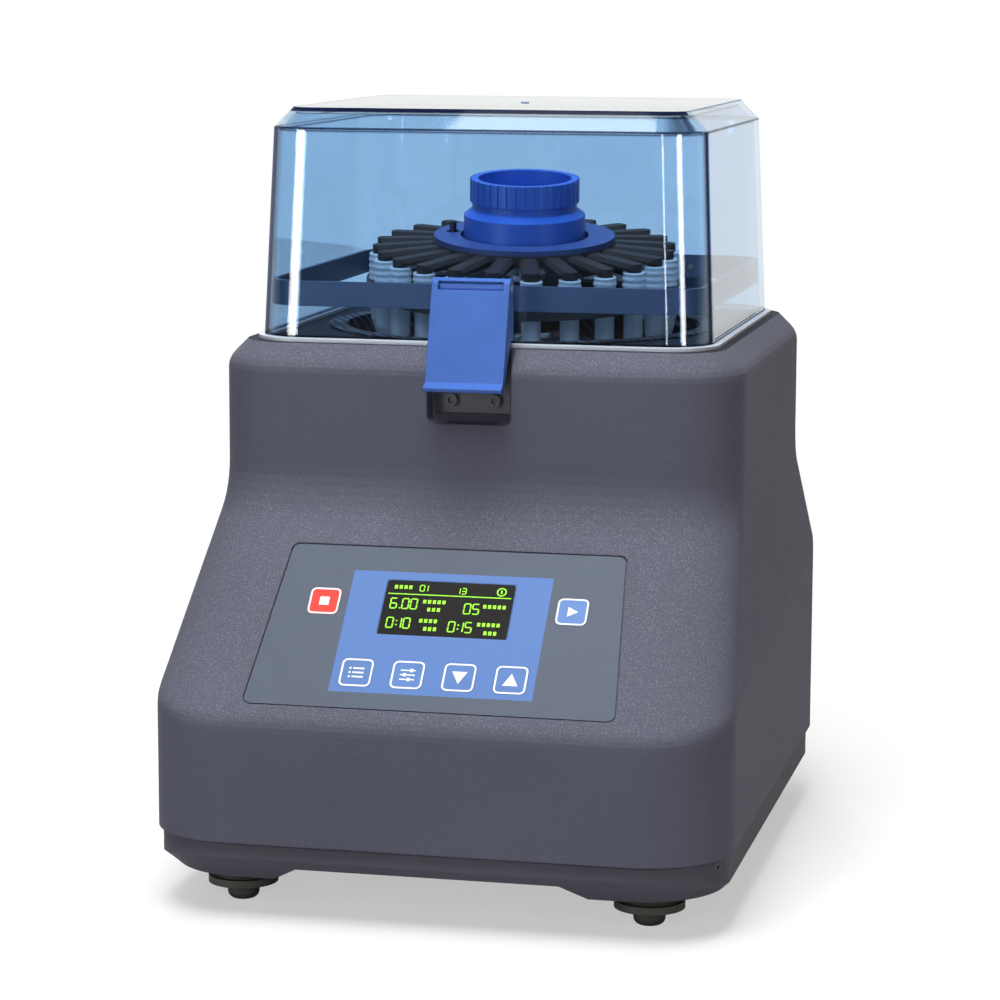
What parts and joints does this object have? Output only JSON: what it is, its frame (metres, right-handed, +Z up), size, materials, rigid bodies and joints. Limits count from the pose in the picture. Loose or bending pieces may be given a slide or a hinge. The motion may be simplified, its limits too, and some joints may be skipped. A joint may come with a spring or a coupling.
{
  "type": "laboratory homogenizer",
  "caption": "Bench bead-mill homogenizer: a tilted ring of sample tubes rocks under a clear latched lid on a sloping dark housing with a membrane control panel.",
  "frame": {"origin": "on the bench, under the middle of the footprint", "axes": "+Z up, front towards -Y, rear with the mains inlet towards +Y"},
  "size_m": [0.31, 0.39, 0.4186],
  "materials": {
    "textured_shell": "fine-grained dark grey moulded shell",
    "dark_tray": "fine-grained near-black base",
    "foot_rubber": "soft rubber",
    "zinc_steel": "plated steel",
    "black_steel": "black oxide",
    "silicone": "pale silicone",
    "clear_lid": "clear polycarbonate, slightly blue",
    "blue_frame": "dark blue moulding",
    "latch_blue": "blue moulding",
    "panel_film": "printed membrane film",
    "stop_red": "printed key",
    "start_blue": "printed key",
    "key_blue": "printed key",
    "display_lens": "dark display lens",
    "electronics": "circuit board",
    "module_case": "folded sheet case",
    "bowl_metal": "satin stainless bowl",
    "rotor_alloy": "dark anodised",
    "rotor_black": "black anodised",
    "rotor_blue": "blue moulding",
    "tube_clear": "translucent sample tube",
    "cap_clear": "translucent screw cap",
    "motor_paint": "dark motor body",
    "black_plastic": "black moulding"
  },
  "bodies": {
    "body": {"housing_shell": "textured_shell", "base_tray": "dark_tray", "tray_screws": "black_steel", "rubber_feet": "foot_rubber", "foot_discs": "foot_rubber", "foot_screws": "zinc_steel", "lid_gasket": "silicone", "hinge_bases": "zinc_steel", "hinge_base_screws": "zinc_steel", "hinge_pins": "zinc_steel", "latch_keeper": "black_steel", "keeper_screws": "black_steel", "panel_overlay": "panel_film", "display_window": "display_lens", "display_module": "black_plastic", "control_board": "electronics", "board_posts": "zinc_steel", "key_switches": "black_plastic", "chamber_bowl": "bowl_metal", "guide_fork": "zinc_steel", "drive_motor": "motor_paint", "motor_frame": "zinc_steel", "vibration_mounts": "foot_rubber", "shaft_bearing": "zinc_steel", "power_inlet": "black_plastic", "switch_frame": "black_plastic", "fan_frame": "black_plastic", "power_supply": "module_case", "motor_controller": "module_case"},
    "lid": {"lid_shell": "clear_lid", "lid_frame": "blue_frame", "hinge_leaves": "zinc_steel", "lid_screws": "zinc_steel", "latch_bracket": "blue_frame", "latch_pin": "zinc_steel"},
    "latch": {"latch_lever": "latch_blue"},
    "drive": {"drive_shaft": "zinc_steel", "swash_hub": "zinc_steel", "counterweight": "zinc_steel"},
    "rotor": {"tube_holder": "rotor_alloy", "holder_bearings": "zinc_steel", "guide_pin": "zinc_steel", "sample_tubes": "tube_clear", "tube_caps": "cap_clear", "clamp_stud": "zinc_steel"},
    "clamp": {"pressure_plate": "rotor_black", "plate_disc": "rotor_blue", "lock_pin": "black_steel"},
    "knob": {"clamp_knob": "rotor_blue"},
    "stop_key": {"stop_key": "stop_red"},
    "start_key": {"start_key": "start_blue"},
    "program_key": {"program_key": "key_blue"},
    "set_key": {"set_key": "key_blue"},
    "down_key": {"down_key": "key_blue"},
    "up_key": {"up_key": "key_blue"},
    "rocker": {"power_rocker": "black_plastic"},
    "fan": {"fan_rotor": "black_plastic"},
    "drawer": {"fuse_drawer": "black_plastic"}
  },
  "joints": [
    {"name": "lid_hinge", "type": "hinge", "parent": "body", "child": "lid", "pos_m": [0, 0.188, 0.301], "axis": [-1, 0, 0], "range_deg": [0, 95]},
    {"name": "latch_pivot", "type": "hinge", "parent": "lid", "child": "latch", "pos_m": [0, -0.0835, 0.3246], "axis": [-1, 0, 0], "range_deg": [0, 105]},
    {"name": "drive_spin", "type": "hinge", "parent": "body", "child": "drive", "pos_m": [0, 0.045, 0.25], "axis": [0, 0, 1], "continuous": true},
    {"name": "swash_spin", "type": "hinge", "parent": "drive", "child": "rotor", "pos_m": [0, 0.045, 0.305], "axis": [0.0249, -0.1104, 0.9936], "continuous": true},
    {"name": "clamp_lift", "type": "slide", "parent": "rotor", "child": "clamp", "axis": [0.0249, -0.1104, 0.9936], "range_m": [0, 0.009]},
    {"name": "knob_turn", "type": "hinge", "parent": "clamp", "child": "knob", "pos_m": [0, 0.045, 0.305], "axis": [0.0249, -0.1104, 0.9936], "range_deg": [0, 1080]},
    {"name": "stop_key_press", "type": "slide", "parent": "body", "child": "stop_key", "axis": [0, 0.708, -0.7062], "range_m": [0, 0.0004], "stiffness_N_per_m": 2000, "springref_m": -0.0004},
    {"name": "start_key_press", "type": "slide", "parent": "body", "child": "start_key", "axis": [0, 0.708, -0.7062], "range_m": [0, 0.0004], "stiffness_N_per_m": 2000, "springref_m": -0.0004},
    {"name": "program_key_press", "type": "slide", "parent": "body", "child": "program_key", "axis": [0, 0.708, -0.7062], "range_m": [0, 0.0004], "stiffness_N_per_m": 2000, "springref_m": -0.0004},
    {"name": "set_key_press", "type": "slide", "parent": "body", "child": "set_key", "axis": [0, 0.708, -0.7062], "range_m": [0, 0.0004], "stiffness_N_per_m": 2000, "springref_m": -0.0004},
    {"name": "down_key_press", "type": "slide", "parent": "body", "child": "down_key", "axis": [0, 0.708, -0.7062], "range_m": [0, 0.0004], "stiffness_N_per_m": 2000, "springref_m": -0.0004},
    {"name": "up_key_press", "type": "slide", "parent": "body", "child": "up_key", "axis": [0, 0.708, -0.7062], "range_m": [0, 0.0004], "stiffness_N_per_m": 2000, "springref_m": -0.0004},
    {"name": "rocker_tilt", "type": "hinge", "parent": "body", "child": "rocker", "pos_m": [0.078, 0.18786, 0.142], "axis": [1, 0, 0], "range_deg": [0, 16]},
    {"name": "fan_spin", "type": "hinge", "parent": "body", "child": "fan", "pos_m": [-0.06, 0.175, 0.1], "axis": [0, 1, 0], "continuous": true},
    {"name": "drawer_pull", "type": "slide", "parent": "body", "child": "drawer", "axis": [0, 1, 0], "range_m": [0, 0.012]}
  ],
  "couplings": [
    {"joint": "swash_spin", "follows": "drive_spin", "ratio": -1},
    {"joint": "clamp_lift", "follows": "knob_turn", "m_per_rad": 0.00047746}
  ]
}
